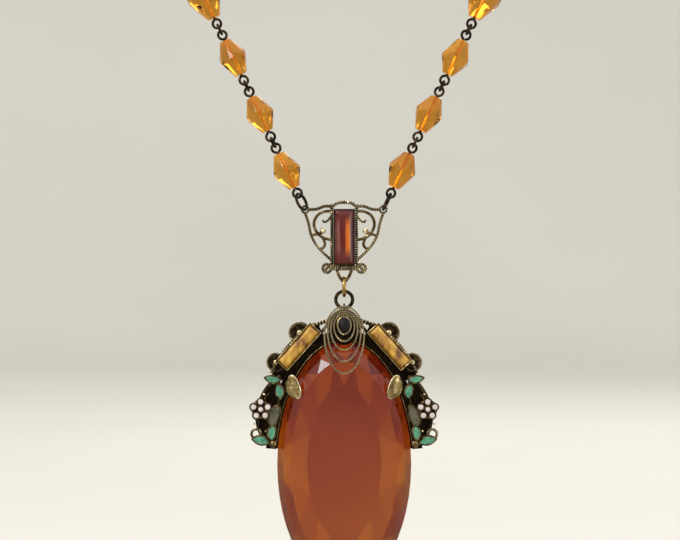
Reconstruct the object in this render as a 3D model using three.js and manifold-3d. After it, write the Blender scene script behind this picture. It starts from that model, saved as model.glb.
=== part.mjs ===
// Pendant necklace: amber glass beads wired on eye pins, a filigree connector and a framed oval stone.
// Millimetres, +Z up, held upright as it is worn. The front faces -Y, and the origin is the middle of
// the clasp, at the nape of the neck.
import * as THREE from "three";
import { ConvexGeometry } from "three/addons/geometries/ConvexGeometry.js";
import { mergeVertices } from "three/addons/utils/BufferGeometryUtils.js";
import Module from "manifold-3d";

const wasm = await Module();
wasm.setup();

// ---------------------------------------------------------------- driving dimensions

// Strands: each unit is a bead on an eye pin, and one round link joins it to the next unit.
const strandUnits = 13;
const jointedUnits = 5;
const largeBeadEvery = 4;
const smallBead = { length: 8.9, waist: 3.4, end: 1.45 };
const largeBead = { length: 11.4, waist: 4.2, end: 1.6 };
const beadSides = 6;
const beadBore = 0.62;
const chainWire = 0.32;
const eyeRadius = 1.05;
const linkRadius = 1.2;
const eyeReach = 1.5;
const linkReach = 1.5;
const joinedWire = 0.42;

// How the strands hang: a straight V at the front, then round the neck to the clasp.
const strandLean = 25.4;
const cornerHalfWidth = 9.3;
const neckHalfWidth = 55;
const neckSideRise = 95;
const napeRise = 103;
const claspHalf = 6.6;

// Corner rings, jump ring and bail ring.
const cornerRing = { radius: 2.05, wire: 0.36 };
const cornerRingTurn = { left: 27, right: 4 };
const cornerEyeReach = 2.25;
const jumpRing = { radius: 2.15, wire: 0.47 };
const bailRing = { radius: 2.0, wire: 0.43 };
const linkClearance = 0.18;

// Connector: a triangular filigree frame round a baguette stone in a box setting.
const cornerLoop = { radius: 0.82, wire: 0.25 };
const frameWire = 0.3;
const settingWidth = 5.0;
const settingTop = 0.1;
const settingBottom = -13.2;
const settingWall = 0.26;
const settingFront = -1.5;
const settingBack = 0.9;
const trimOffset = 2.92;
const hangLoopBottom = -17.2;

// Oval stone of the pendant.
const stoneHalfWidth = 16;
const stoneHalfHeight = 29.3;
const stoneCentreZ = -60.7;
const tableHalfWidth = 12.7;
const tableHalfHeight = 24.9;
const tableY = -3.4;
const rearFacetY = 4.1;
const girdleHalf = 0.5;
const girdleSides = 24;

// Cap frame along the top of the stone.
const bandInner = 0.3;
const bandOuter = 1.6;
const bandFront = -1.2;
const bandBack = 1.0;
const bandEndAngle = 7.3;
const rimInner = 5.2;
const rimOuter = 6.1;

// Yellow baguettes on the cap.
const baguetteLength = 11.3;
const baguetteWidth = 2.9;
const baguetteWall = 0.35;
const baguetteGap = 0.08;
const baguetteWallDepth = 2.2;
const baguetteFloor = 0.4;
const baguetteWallMiddleY = -1.3;
const baguetteAngle = 48;
const baguetteX = 10.8;
const baguetteZ = -32.6;

// Filigree medallion: nested wire ovals, from the smallest out.
const medallionWire = 0.55;
const medallionTilt = 11.5;
const medallionTopY = -1.75;
const medallionTopZ = -22.8;
const medallionOvals = [
  { halfWidth: 1.9, top: -1.6, bottom: -7.1 },
  { halfWidth: 2.95, top: -1.15, bottom: -8.5 },
  { halfWidth: 3.5, top: -0.7, bottom: -10.8 },
  { halfWidth: 4.15, top: -0.35, bottom: -13.6 },
  { halfWidth: 4.8, top: 0, bottom: -16.6 },
];

// Claws over the stone's edge, and the flowers beside them.
const clawSize = { halfWidth: 1.75, halfHeight: 2.8, thickness: 0.6 };
const clawPlace = { x: 12.1, y: -2.6, z: -42.3, turn: 14, lean: 24 };
const flowerPlace = { x: 19.8, y: -2.4, z: -47.4 };
const petalCount = 5;
const petalRadius = 1.0;
const petalRing = 1.85;

// Spring ring clasp. Angles are anticlockwise from +X, seen from the front.
const claspRing = { radius: 2.9, tube: 0.76, bore: 0.47 };
const claspCentreX = -1.05;
const claspGap = { from: 20, to: 75 };
const claspSlotAngles = { from: 79, to: 147 };
const claspTriggerAngles = { from: 23, to: 150 };
const claspSpringAngles = { from: 153, to: 256 };
const claspHollowEnd = 262;
const claspKnob = { angle: 86, radius: 0.2, height: 1.4 };
const claspTriggerWire = 0.33;
const claspLoop = { radius: 1.0, wire: 0.34 };
const claspEndRing = { radius: 1.9, wire: 0.38 };
const claspTag = { radius: 1.5, wire: 0.34 };
const claspClearance = 0.15;

// ---------------------------------------------------------------- materials

function material(color, roughness, metalness) {
  return new THREE.MeshStandardMaterial({ color, roughness, metalness });
}

const amberGlass = material(0xd0901f, 0.08, 0);
const redAmberGlass = material(0x8a3a20, 0.06, 0);
const yellowGlass = material(0xc99a35, 0.1, 0);
const darkRedGlass = material(0x6a1f14, 0.06, 0);
const blackGlass = material(0x17171c, 0.12, 0);
const darkBrass = material(0x54462f, 0.45, 0.9);
const antiqueBrass = material(0x8a774e, 0.38, 0.95);
const brightBrass = material(0xb59a5c, 0.28, 1);
const whiteEnamel = material(0xded6cf, 0.3, 0);
const greenEnamel = material(0x4f9a74, 0.35, 0.1);
const steelSpring = material(0x8d8d8d, 0.4, 0.9);

// ---------------------------------------------------------------- geometry helpers

const radians = THREE.MathUtils.degToRad;
const vec = (x, y, z) => new THREE.Vector3(x, y, z);
const mergeTolerance = 1e-4;

// A closed geometry as a solid that can be joined and cut.
function solidOf(geometry) {
  const bare = geometry.index ? geometry.toNonIndexed() : geometry.clone();
  bare.deleteAttribute("normal");
  bare.deleteAttribute("uv");
  const merged = mergeVertices(bare, mergeTolerance);
  const vertProperties = merged.attributes.position.array;
  const triVerts = new Uint32Array(merged.index.array);
  return new wasm.Manifold(new wasm.Mesh({ numProp: 3, vertProperties, triVerts }));
}

function geometryOf(solid) {
  const { vertProperties, triVerts } = solid.getMesh();
  const geometry = new THREE.BufferGeometry();
  geometry.setAttribute("position", new THREE.BufferAttribute(new Float32Array(vertProperties), 3));
  geometry.setIndex(new THREE.BufferAttribute(new Uint32Array(triVerts), 1));
  geometry.computeVertexNormals();
  return geometry;
}

function join(...geometries) {
  return geometryOf(geometries.map(solidOf).reduce((all, next) => all.add(next)));
}

function cut(base, ...cutters) {
  return geometryOf(cutters.map(solidOf).reduce((left, cutter) => left.subtract(cutter), solidOf(base)));
}

function polygon(radius, sides) {
  const corners = [];
  for (let i = 0; i < sides; i += 1) {
    const angle = (2 * Math.PI * i) / sides;
    corners.push(new THREE.Vector2(radius * Math.cos(angle), radius * Math.sin(angle)));
  }
  return new THREE.Shape(corners);
}

// Round wire through points.
function wire(points, radius, steps, sides = 4) {
  const extrudePath = new THREE.CatmullRomCurve3(points, false, "centripetal");
  return new THREE.ExtrudeGeometry(polygon(radius, sides), { steps, bevelEnabled: false, extrudePath });
}

// Wire in the frame's plane, from [x, z] pairs.
function flatWire(pairs, radius, steps, sides = 4) {
  return wire(pairs.map(([x, z]) => vec(x, 0, z)), radius, steps, sides);
}

// A circular arc in the XZ plane, anticlockwise from +X towards +Z.
class Arc extends THREE.Curve {
  constructor(radius, from, to) {
    super();
    this.radius = radius;
    this.from = radians(from);
    this.to = radians(to);
  }
  getPoint(t, target = new THREE.Vector3()) {
    const angle = this.from + (this.to - this.from) * t;
    return target.set(this.radius * Math.cos(angle), 0, this.radius * Math.sin(angle));
  }
}

function arcBar(radius, barRadius, from, to, steps, sides) {
  const extrudePath = new Arc(radius, from, to);
  return new THREE.ExtrudeGeometry(polygon(barRadius, sides), { steps, bevelEnabled: false, extrudePath });
}

// A ring of round wire in the XZ plane.
function ring(radius, wireRadius, segments = 12, sides = 6) {
  return new THREE.TorusGeometry(radius, wireRadius, sides, segments).rotateX(Math.PI / 2);
}

// A flat plate from a shape drawn in X and Z; it reaches forward from backY.
function plate(shape, backY, thickness, curveSegments = 6) {
  const geometry = new THREE.ExtrudeGeometry(shape, { depth: thickness, bevelEnabled: false, curveSegments });
  return geometry.rotateX(Math.PI / 2).translate(0, backY, 0);
}

function discShape(x, z, radius) {
  const shape = new THREE.Shape();
  shape.absarc(x, z, radius, 0, 2 * Math.PI);
  return shape;
}

function leafShape(length, width) {
  const half = length / 2;
  const shape = new THREE.Shape();
  shape.moveTo(-half, 0);
  shape.quadraticCurveTo(0, -width, half, 0);
  shape.quadraticCurveTo(0, width, -half, 0);
  return shape;
}

// A leaf plate centred on x, z and turned in the frame's plane.
function leaf(x, z, length, width, degrees, backY, thickness) {
  const geometry = plate(leafShape(length, width), 0, thickness, 3);
  return geometry.rotateY(-radians(degrees)).translate(x, backY, z);
}

function boxAt(x, y, z, width, depth, height) {
  return new THREE.BoxGeometry(width, depth, height).translate(x, y, z);
}

function mesh(name, geometry, finish) {
  const piece = new THREE.Mesh(geometry, finish);
  piece.name = name;
  return piece;
}

// ---------------------------------------------------------------- strand pieces

// A faceted bead along Z: small flat ends and a waist of two zigzag rows of corners.
function beadBody({ length, waist, end }) {
  const points = [];
  const waistShift = length * 0.055;
  for (let i = 0; i < beadSides; i += 1) {
    const whole = (2 * Math.PI * i) / beadSides;
    const between = whole + Math.PI / beadSides;
    points.push(vec(end * Math.cos(whole), end * Math.sin(whole), length / 2));
    points.push(vec(end * Math.cos(between), end * Math.sin(between), -length / 2));
    points.push(vec(waist * Math.cos(between), waist * Math.sin(between), waistShift));
    points.push(vec(waist * Math.cos(whole), waist * Math.sin(whole), -waistShift));
  }
  return new ConvexGeometry(points);
}

function boredBead(size) {
  const bore = new THREE.CylinderGeometry(beadBore, beadBore, size.length + 2, 8).rotateX(Math.PI / 2);
  return cut(beadBody(size), bore);
}

// Straight wire along Z with a round eye at each end. The eyes lie in the XZ plane.
function eyePin(span) {
  const shaftLength = span - 2 * eyeRadius;
  const shaft = new THREE.CylinderGeometry(chainWire, chainWire, shaftLength, 5).rotateX(Math.PI / 2);
  const eyes = [-1, 1].map((end) => ring(eyeRadius, chainWire, 9, 5).translate(0, 0, (end * span) / 2));
  return join(shaft, ...eyes);
}

// A link stands square to the eyes that it joins.
function linkRing(radius = linkRadius, wireRadius = chainWire, segments = 10, sides = 5) {
  return ring(radius, wireRadius, segments, sides).rotateZ(Math.PI / 2);
}

// Distances along a strand from the connector's corner, for each unit.
function strandLayout() {
  const units = [];
  let eye = cornerRing.radius + cornerEyeReach;
  for (let i = 0; i < strandUnits; i += 1) {
    const bead = (i + 1) % largeBeadEvery === 0 ? largeBead : smallBead;
    const span = bead.length + 2 * eyeReach;
    units.push({ bead, span, middle: eye + span / 2, link: eye + span + linkReach });
    eye += span + 2 * linkReach;
  }
  return units;
}

const layout = strandLayout();
const lean = radians(strandLean);
const up = vec(Math.sin(lean), 0, Math.cos(lean));
const corner = vec(cornerHalfWidth, 0, 0);
const straightLength = layout[jointedUnits - 1].link + linkReach;
const strandLength = layout[strandUnits - 1].link;

// The right-hand strand's centre line, measured from the connector's corner.
function strandPath(napeDepth) {
  const bend = corner.clone().addScaledVector(up, straightLength);
  const side = vec(neckHalfWidth, napeDepth * 0.46, neckSideRise);
  const nape = vec(claspHalf, napeDepth, napeRise);
  const sideAim = vec(0, 1, 0.16).normalize();
  const path = new THREE.CurvePath();
  path.add(new THREE.LineCurve3(corner.clone(), bend));
  path.add(new THREE.CubicBezierCurve3(
    bend,
    bend.clone().addScaledVector(up, 14),
    side.clone().addScaledVector(sideAim, -22),
    side,
  ));
  path.add(new THREE.CubicBezierCurve3(
    side,
    side.clone().addScaledVector(sideAim, 25),
    nape.clone().add(vec(26, 0, 0)),
    nape,
  ));
  return path;
}

// The neck's depth is whatever brings the last link to the clasp.
function solveNapeDepth() {
  let low = 50;
  let high = 120;
  for (let i = 0; i < 30; i += 1) {
    const middle = (low + high) / 2;
    if (strandPath(middle).getLength() < strandLength) {
      low = middle;
    } else {
      high = middle;
    }
  }
  return (low + high) / 2;
}

const napeDepth = solveNapeDepth();
const path = strandPath(napeDepth);

// A point on the strand; past the last link's middle it goes straight on towards the clasp.
function pathPoint(distance) {
  const over = Math.max(distance - strandLength, 0);
  return path.getPoint(Math.min(distance / strandLength, 1)).add(vec(-over, 0, 0));
}

// Which way is out from the neck, for a point on the strand.
function outward(point) {
  const around = vec(point.x, 0, 0);
  const depth = THREE.MathUtils.smoothstep(point.y, 0, napeDepth);
  around.y = -neckHalfWidth + 2 * neckHalfWidth * depth;
  return point.y < 1 ? vec(0, -1, 0) : around.normalize();
}

// Each pin is twisted a little round the strand, as hand-closed wire is.
function pinTwist(index, right) {
  return radians(24 * Math.sin(2.3 * index + (right ? 1.9 : 0.4)));
}

// Places a piece that is modelled along Z, with its back to +Y, on the strand.
function placeOnStrand(piece, from, to, twist) {
  const low = pathPoint(from);
  const high = pathPoint(to);
  const along = high.clone().sub(low).normalize();
  const middle = low.clone().add(high).multiplyScalar(0.5);
  const back = outward(middle).negate();
  back.addScaledVector(along, -back.dot(along)).normalize();
  const across = back.clone().cross(along);
  piece.matrixAutoUpdate = false;
  piece.matrix.makeBasis(across, back, along);
  piece.matrix.multiply(new THREE.Matrix4().makeRotationZ(twist));
  piece.matrix.setPosition(middle);
  return piece;
}

function placeUnit(piece, index, right) {
  const { middle, span } = layout[index];
  return placeOnStrand(piece, middle - span / 2, middle + span / 2, pinTwist(index, right));
}

function placeLink(piece, index, right) {
  const { link } = layout[index];
  const twist = (pinTwist(index, right) + pinTwist(index + 1, right)) / 2;
  return placeOnStrand(piece, link - 1, link + 1, index === strandUnits - 1 ? 0 : twist);
}

// The part of a strand behind the jointed rows, as one solid on a wire core. Its first eye and its last
// link are full size, because the links of other pieces pass through them.
function joinedStrand(right) {
  const units = layout.map((unit, index) => ({ ...unit, index })).slice(jointedUnits);
  const firstEye = units[0].middle - units[0].span / 2;
  const lastLink = strandLength;
  const coreStart = firstEye + eyeRadius;
  const coreEnd = lastLink - linkRadius;
  const coreSteps = units.length * 2;
  const corePoints = [];
  for (let i = 0; i <= coreSteps; i += 1) {
    corePoints.push(pathPoint(coreStart + ((coreEnd - coreStart) * i) / coreSteps));
  }
  const eye = mesh("", ring(eyeRadius, chainWire, 9, 5), darkBrass);
  const pieces = [placeOnStrand(eye, firstEye - 1, firstEye + 1, pinTwist(jointedUnits, right))];
  for (const { bead, index } of units) {
    const isLast = index === strandUnits - 1;
    const link = isLast ? linkRing() : linkRing(linkRadius, chainWire, 8, 3);
    pieces.push(placeUnit(mesh("", beadBody(bead), amberGlass), index, right));
    pieces.push(placeLink(mesh("", link, darkBrass), index, right));
  }
  const placed = pieces.map((piece) => piece.geometry.applyMatrix4(piece.matrix));
  return join(wire(corePoints, joinedWire, coreSteps), ...placed);
}

function strand(sideName) {
  const right = sideName === "right";
  const group = new THREE.Group();
  for (let i = 0; i < jointedUnits; i += 1) {
    const row = i + 1;
    const { bead, span } = layout[i];
    group.add(placeUnit(mesh(`bead_${sideName}_${row}`, boredBead(bead), amberGlass), i, right));
    group.add(placeUnit(mesh(`eye_pin_${sideName}_${row}`, eyePin(span), darkBrass), i, right));
    group.add(placeLink(mesh(`link_ring_${sideName}_${row}`, linkRing(), darkBrass), i, right));
  }
  const endRing = mesh(`corner_ring_${sideName}`, ring(cornerRing.radius, cornerRing.wire), antiqueBrass);
  const turn = radians(cornerRingTurn[sideName]) - Math.PI / 2;
  group.add(placeOnStrand(endRing, 0, 2 * cornerRing.radius, turn));
  group.add(mesh(`back_strand_${sideName}`, joinedStrand(right), amberGlass));
  if (!right) group.scale.x = -1;
  return group;
}

// ---------------------------------------------------------------- connector

// One half of the filigree, on the side of +X. Pairs are x and z from the corner's level.
function filigreeHalf() {
  const loop = ring(cornerLoop.radius, cornerLoop.wire, 10, 5).translate(cornerHalfWidth, 0, 0);
  const loopEdge = cornerHalfWidth - cornerLoop.radius;
  const outerEdge = [[cornerHalfWidth, -0.9], [8.5, -3.3], [7.8, -6.3], [6.1, -9.1], [trimOffset, -12.2]];
  const topEdge = [[loopEdge, 0], [6.6, 0.1], [4.6, 0.8], [trimOffset, 0.7]];
  const trim = [[trimOffset, 1.2], [trimOffset, -13.9]];
  const bigScroll = [
    [3.0, -0.4], [4.8, -0.5], [6.4, -1.4], [7.2, -3.3], [6.6, -5.3], [5.2, -6.6], [3.0, -7.3],
  ];
  const ballStem = [[5.7, -6.2], [5.1, -5.2]];
  const lowScroll = [[7.7, -6.2], [6.3, -5.9], [5.1, -6.8], [4.6, -8.3], [5.6, -9.3]];
  const topCurl = [[trimOffset, -1.2], [3.6, -2.6], [4.8, -3.2]];
  return [
    loop,
    flatWire(outerEdge, frameWire, 7),
    flatWire(topEdge, frameWire, 4),
    flatWire(trim, frameWire, 1, 6),
    flatWire(bigScroll, frameWire * 0.85, 9),
    flatWire(ballStem, frameWire * 1.6, 1, 6),
    flatWire(lowScroll, frameWire * 0.85, 6),
    flatWire(topCurl, frameWire, 3),
    ring(1.05, frameWire * 1.2, 8, 4).translate(4.1, 0, -14.0),
  ];
}

function connectorFrame() {
  const arch = [[-trimOffset, 0.7], [-1.4, 1.6], [1.4, 1.6], [trimOffset, 0.7]];
  const hangLoop = [[-2.6, -14.1], [-1.3, -16.1], [0, hangLoopBottom], [1.3, -16.1], [2.6, -14.1]];
  const rows = [-13.6, -14.15].map((z) => flatWire([[-3.4, z], [3.4, z]], frameWire, 1, 6));
  const halves = [...filigreeHalf(), ...filigreeHalf().map((half) => half.rotateZ(Math.PI))];
  return join(...rows, flatWire(arch, frameWire, 8), flatWire(hangLoop, frameWire, 8), ...halves);
}

function connectorSetting() {
  const height = settingTop - settingBottom;
  const middleZ = (settingTop + settingBottom) / 2;
  const depth = settingBack - settingFront;
  const middleY = (settingBack + settingFront) / 2;
  const outer = boxAt(0, middleY, middleZ, settingWidth, depth, height);
  const inside = boxAt(0, middleY - settingWall, middleZ,
    settingWidth - 2 * settingWall, depth, height - 2 * settingWall);
  return cut(outer, inside);
}

// A step-cut stone: a level table, a sloping crown all round, a straight girdle and a tapering base.
function stepCutStone(width, height, tableLevel, girdleLevel, baseLevel, crownInset) {
  const points = [];
  const levels = [
    [tableLevel, crownInset],
    [girdleLevel, 0],
    [girdleLevel + (baseLevel - girdleLevel) * 0.45, 0],
    [baseLevel, crownInset * 1.3],
  ];
  for (const [y, inset] of levels) {
    for (const x of [-1, 1]) {
      for (const z of [-1, 1]) points.push(vec(x * (width / 2 - inset), y, z * (height / 2 - inset)));
    }
  }
  return new ConvexGeometry(points);
}

function connector() {
  const group = new THREE.Group();
  const innerGap = 0.08;
  const stoneWidth = settingWidth - 2 * settingWall - 2 * innerGap;
  const stoneHeight = settingTop - settingBottom - 2 * settingWall - 2 * innerGap;
  const stone = stepCutStone(stoneWidth, stoneHeight, -2.1, settingFront, 0.4, 1.0);
  stone.translate(0, 0, (settingTop + settingBottom) / 2);
  group.add(mesh("connector_frame", connectorFrame(), antiqueBrass));
  group.add(mesh("connector_setting", connectorSetting(), darkBrass));
  group.add(mesh("connector_stone", stone, darkRedGlass));
  return group;
}

// ---------------------------------------------------------------- rings that carry the pendant

const jumpRingZ = hangLoopBottom + frameWire + jumpRing.wire + linkClearance - jumpRing.radius;
const bailTopZ = jumpRingZ - jumpRing.radius + jumpRing.wire + bailRing.wire + linkClearance;
const bailRingZ = bailTopZ - bailRing.radius;
const hangEye = { radius: 0.9, wire: 0.27 };
const hangEyeTopZ = bailRingZ - bailRing.radius + bailRing.wire + hangEye.wire + linkClearance;

function carryingRings() {
  const group = new THREE.Group();
  const jumpGeometry = ring(jumpRing.radius, jumpRing.wire, 16, 8).rotateZ(Math.PI / 2);
  const jump = mesh("jump_ring", jumpGeometry, brightBrass);
  const bail = mesh("bail_ring", ring(bailRing.radius, bailRing.wire, 16, 8), darkBrass);
  jump.position.z = jumpRingZ;
  bail.position.z = bailRingZ;
  group.add(jump, bail);
  return group;
}

// ---------------------------------------------------------------- pendant

// A point on the oval outline at an angle from +X, moved outwards by an offset.
function outlinePoint(degrees, offset) {
  const angle = radians(degrees);
  const x = stoneHalfWidth * Math.cos(angle);
  const z = stoneHalfHeight * Math.sin(angle);
  const normal = new THREE.Vector2(Math.cos(angle) / stoneHalfWidth, Math.sin(angle) / stoneHalfHeight);
  normal.normalize();
  return new THREE.Vector2(x + normal.x * offset, stoneCentreZ + z + normal.y * offset);
}

// A strip that follows the outline between two offsets and two angles.
function stripShape(inner, outer, from, to, steps) {
  const points = [];
  for (let i = 0; i <= steps; i += 1) points.push(outlinePoint(from + ((to - from) * i) / steps, outer));
  for (let i = steps; i >= 0; i -= 1) points.push(outlinePoint(from + ((to - from) * i) / steps, inner));
  return new THREE.Shape(points);
}

function ovalStone() {
  const points = [];
  const addRow = (halfWidth, halfHeight, y, sides, shift) => {
    for (let i = 0; i < sides; i += 1) {
      const angle = (2 * Math.PI * (i + shift)) / sides;
      points.push(vec(halfWidth * Math.cos(angle), y, stoneCentreZ + halfHeight * Math.sin(angle)));
    }
  };
  addRow(stoneHalfWidth, stoneHalfHeight, -girdleHalf, girdleSides, 0);
  addRow(stoneHalfWidth, stoneHalfHeight, girdleHalf, girdleSides, 0);
  addRow(tableHalfWidth, tableHalfHeight, tableY, girdleSides / 2, 0.5);
  addRow(tableHalfWidth * 0.7, tableHalfHeight * 0.75, rearFacetY, girdleSides / 2, 0.5);
  return new ConvexGeometry(points);
}

function capFrame() {
  const thickness = bandBack - bandFront;
  const hangEyeZ = hangEyeTopZ - hangEye.radius;
  const pieces = [
    plate(stripShape(bandInner, bandOuter, bandEndAngle, 180 - bandEndAngle, 24), bandBack, thickness),
    plate(stripShape(rimInner, rimOuter, 56, 124, 10), bandBack - 0.1, 1.0),
    boxAt(0, 0.2, -27.4, 1.3, 1.0, 5.6),
    ring(hangEye.radius, hangEye.wire, 12, 6).rotateZ(Math.PI / 2).translate(0, 0, hangEyeZ),
  ];
  for (const side of [-1, 1]) {
    const middle = 90 - side * 32;
    pieces.push(plate(stripShape(bandOuter - 0.4, rimOuter, middle - 18, middle + 18, 8), bandBack, 0.9));
    pieces.push(plate(discShape(side * 10.6, -29.4, 2.6), bandBack + 0.1, 0.9, 8));
    pieces.push(plate(discShape(side * 16.3, -36.4, 2.2), bandBack + 0.1, 0.9, 8));
  }
  return join(...pieces);
}

function baguette(sideName, side) {
  const group = new THREE.Group();
  const length = baguetteLength + 2 * baguetteGap;
  const width = baguetteWidth + 2 * baguetteGap;
  const walls = 2 * baguetteWall;
  const outer = boxAt(0, baguetteWallMiddleY, 0, length + walls, baguetteWallDepth, width + walls);
  const inside = boxAt(0, baguetteWallMiddleY - baguetteFloor, 0, length, baguetteWallDepth, width);
  const stone = stepCutStone(baguetteLength, baguetteWidth, -2.9, -2.3, -0.75, 0.7);
  group.add(mesh(`baguette_setting_${sideName}`, cut(outer, inside), darkBrass));
  group.add(mesh(`baguette_stone_${sideName}`, stone, yellowGlass));
  group.position.set(side * baguetteX, 0, baguetteZ);
  group.rotation.y = side * radians(baguetteAngle);
  return group;
}

// An oval that is a little narrower below, drawn between a top and a bottom.
function eggShape(halfWidth, top, bottom, inset, steps = 20) {
  const points = [];
  const halfHeight = (top - bottom) / 2 - inset;
  for (let i = 0; i < steps; i += 1) {
    const angle = (2 * Math.PI * i) / steps;
    const narrowing = 1 + 0.1 * Math.sin(angle);
    const x = (halfWidth - inset) * Math.cos(angle) * narrowing;
    points.push(new THREE.Vector2(x, (top + bottom) / 2 + halfHeight * Math.sin(angle)));
  }
  return points;
}

function medallion() {
  const group = new THREE.Group();
  const ovals = medallionOvals.map(({ halfWidth, top, bottom }) => {
    const shape = new THREE.Shape(eggShape(halfWidth, top, bottom, 0));
    shape.holes.push(new THREE.Path(eggShape(halfWidth, top, bottom, medallionWire)));
    return plate(shape, medallionWire / 2, medallionWire);
  });
  const { top, bottom } = medallionOvals[0];
  const dome = new THREE.SphereGeometry(1, 10, 6).scale(1.2, 0.5, (top - bottom) / 2 - medallionWire - 0.2);
  dome.translate(0, 0, (top + bottom) / 2);
  group.add(mesh("filigree_medallion", join(...ovals), antiqueBrass));
  group.add(mesh("medallion_stone", dome, blackGlass));
  group.position.set(0, medallionTopY, medallionTopZ);
  group.rotation.x = -radians(medallionTilt);
  return group;
}

// A petal-shaped claw, bent over the stone's edge onto its crown.
function claw(sideName, side) {
  const shape = new THREE.Shape();
  shape.absellipse(0, 0, clawSize.halfWidth, clawSize.halfHeight, 0, 2 * Math.PI);
  const geometry = plate(shape, clawSize.thickness / 2, clawSize.thickness, 5);
  const piece = mesh(`stone_claw_${sideName}`, geometry, antiqueBrass);
  piece.position.set(side * clawPlace.x, clawPlace.y, clawPlace.z);
  piece.rotation.set(0, side * radians(clawPlace.turn), side * radians(clawPlace.lean));
  return piece;
}

// Five round petals about a round centre, on a thin back.
function flower(sideName, side) {
  const pieces = [plate(discShape(0, 0, 2.1), 0, 0.4, 6), plate(discShape(0, 0, 0.8), 0, 0.8, 4)];
  for (let i = 0; i < petalCount; i += 1) {
    const angle = Math.PI / 2 + (2 * Math.PI * i) / petalCount;
    const petal = discShape(petalRing * Math.cos(angle), petalRing * Math.sin(angle), petalRadius);
    pieces.push(plate(petal, 0, 0.75, 4));
  }
  const piece = mesh(`flower_${sideName}`, join(...pieces), whiteEnamel);
  piece.position.set(side * flowerPlace.x, flowerPlace.y, flowerPlace.z);
  return piece;
}

// Leaves, stem and curl that carry the flower, for the side of +X.
function sprigGeometry() {
  const back = -1.4;
  const thick = 0.8;
  const stem = new THREE.Shape([
    new THREE.Vector2(15.0, -40.0),
    new THREE.Vector2(17.2, -40.4),
    new THREE.Vector2(19.6, -44.6),
    new THREE.Vector2(20.4, -49.6),
    new THREE.Vector2(19.4, -54.8),
    new THREE.Vector2(16.6, -54.6),
    new THREE.Vector2(15.9, -48.8),
    new THREE.Vector2(15.4, -43.6),
  ]);
  return join(
    plate(stem, back, 0.5),
    plate(discShape(flowerPlace.x, flowerPlace.z, 2.3), back, thick),
    leaf(17.0, -40.4, 4.4, 2.2, 8, back, thick),
    leaf(15.3, -43.2, 4.2, 2.4, 78, back, thick),
    leaf(16.8, -49.0, 6.0, 3.0, 108, back, thick),
    leaf(19.8, -54.8, 5.0, 2.6, 14, back, thick),
    leaf(17.2, -53.2, 4.4, 2.4, 98, back, thick),
    plate(discShape(16.8, -55.7, 1.1), back, thick, 4),
    ring(1.1, 0.4, 8, 5).translate(20.9, back - 0.4, -53.3),
  );
}

function pendant() {
  const group = new THREE.Group();
  group.add(mesh("pendant_stone", ovalStone(), redAmberGlass));
  group.add(mesh("cap_frame", capFrame(), darkBrass));
  group.add(medallion());
  for (const [sideName, side] of [["left", -1], ["right", 1]]) {
    const sprig = mesh(`sprig_${sideName}`, sprigGeometry(), greenEnamel);
    sprig.scale.x = side;
    group.add(baguette(sideName, side), claw(sideName, side), flower(sideName, side), sprig);
  }
  return group;
}

// ---------------------------------------------------------------- clasp

// The slot on the outside of the clasp's tube, where the trigger's knob travels.
function claspSlot() {
  const { from, to } = claspSlotAngles;
  const shape = new THREE.Shape();
  shape.absarc(0, 0, claspRing.radius + 1.2, radians(from), radians(to), false);
  shape.absarc(0, 0, claspRing.radius + 0.1, radians(to), radians(from), true);
  return plate(shape, 0.3, 0.6, 6);
}

function claspCase() {
  const { radius, tube, bore } = claspRing;
  const body = arcBar(radius, tube, claspGap.to, claspGap.from + 360, 20, 8);
  const loop = ring(claspLoop.radius, claspLoop.wire, 10, 6).translate(-radius - tube - 0.95, 0, 0);
  const hollow = arcBar(radius, bore, claspGap.to - 6, claspHollowEnd, 12, 8);
  return cut(join(body, loop), hollow, claspSlot());
}

function claspTrigger() {
  const { radius } = claspRing;
  const bar = arcBar(radius, claspTriggerWire, claspTriggerAngles.from, claspTriggerAngles.to, 12, 8);
  const knob = new THREE.CylinderGeometry(claspKnob.radius, claspKnob.radius, claspKnob.height, 8);
  knob.translate(0, radius + claspKnob.height / 2, 0).rotateX(Math.PI / 2);
  knob.rotateY(Math.PI / 2 - radians(claspKnob.angle));
  return join(bar, knob);
}

function clasp() {
  const group = new THREE.Group();
  const { radius, tube } = claspRing;
  const { from, to } = claspSpringAngles;
  const spring = arcBar(radius, claspTriggerWire * 0.95, from, to, 10, 8);
  const clip = new THREE.Group();
  clip.add(mesh("spring_ring_case", claspCase(), brightBrass));
  clip.add(mesh("spring_ring_trigger", claspTrigger(), brightBrass));
  clip.add(mesh("spring_ring_spring", spring, steelSpring));
  clip.position.x = claspCentreX;
  const endGeometry = ring(claspEndRing.radius, claspEndRing.wire, 12, 6).rotateX(Math.PI / 2);
  const endRing = mesh("clasp_end_ring", endGeometry, brightBrass);
  const endRingStart = claspCentreX + radius - tube - claspClearance;
  endRing.position.x = endRingStart - claspEndRing.wire + claspEndRing.radius;
  const tag = mesh("clasp_tag", ring(claspTag.radius, claspTag.wire, 12, 6), brightBrass);
  const tagStart = endRing.position.x + claspEndRing.radius - claspEndRing.wire - claspClearance;
  tag.position.x = tagStart - claspTag.wire + claspTag.radius;
  group.add(clip, endRing, tag);
  return group;
}

// ---------------------------------------------------------------- assembly

const front = new THREE.Group();
front.add(strand("left"), strand("right"), connector(), carryingRings(), pendant());
front.position.set(0, -napeDepth, -napeRise);

const necklace = new THREE.Group();
necklace.add(front, clasp());

export default necklace;
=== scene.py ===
"""Looks for the pendant necklace: cut glass, twisted wire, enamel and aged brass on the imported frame.

Shapes are built in millimetres from the connector's corner level, in the plane of the front strands,
and are placed in the row frame by ORIGIN. Front is -Y, +Z is up.
"""
import math

import bmesh
import bpy
import numpy as np
from mathutils import Matrix, Vector


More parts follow.
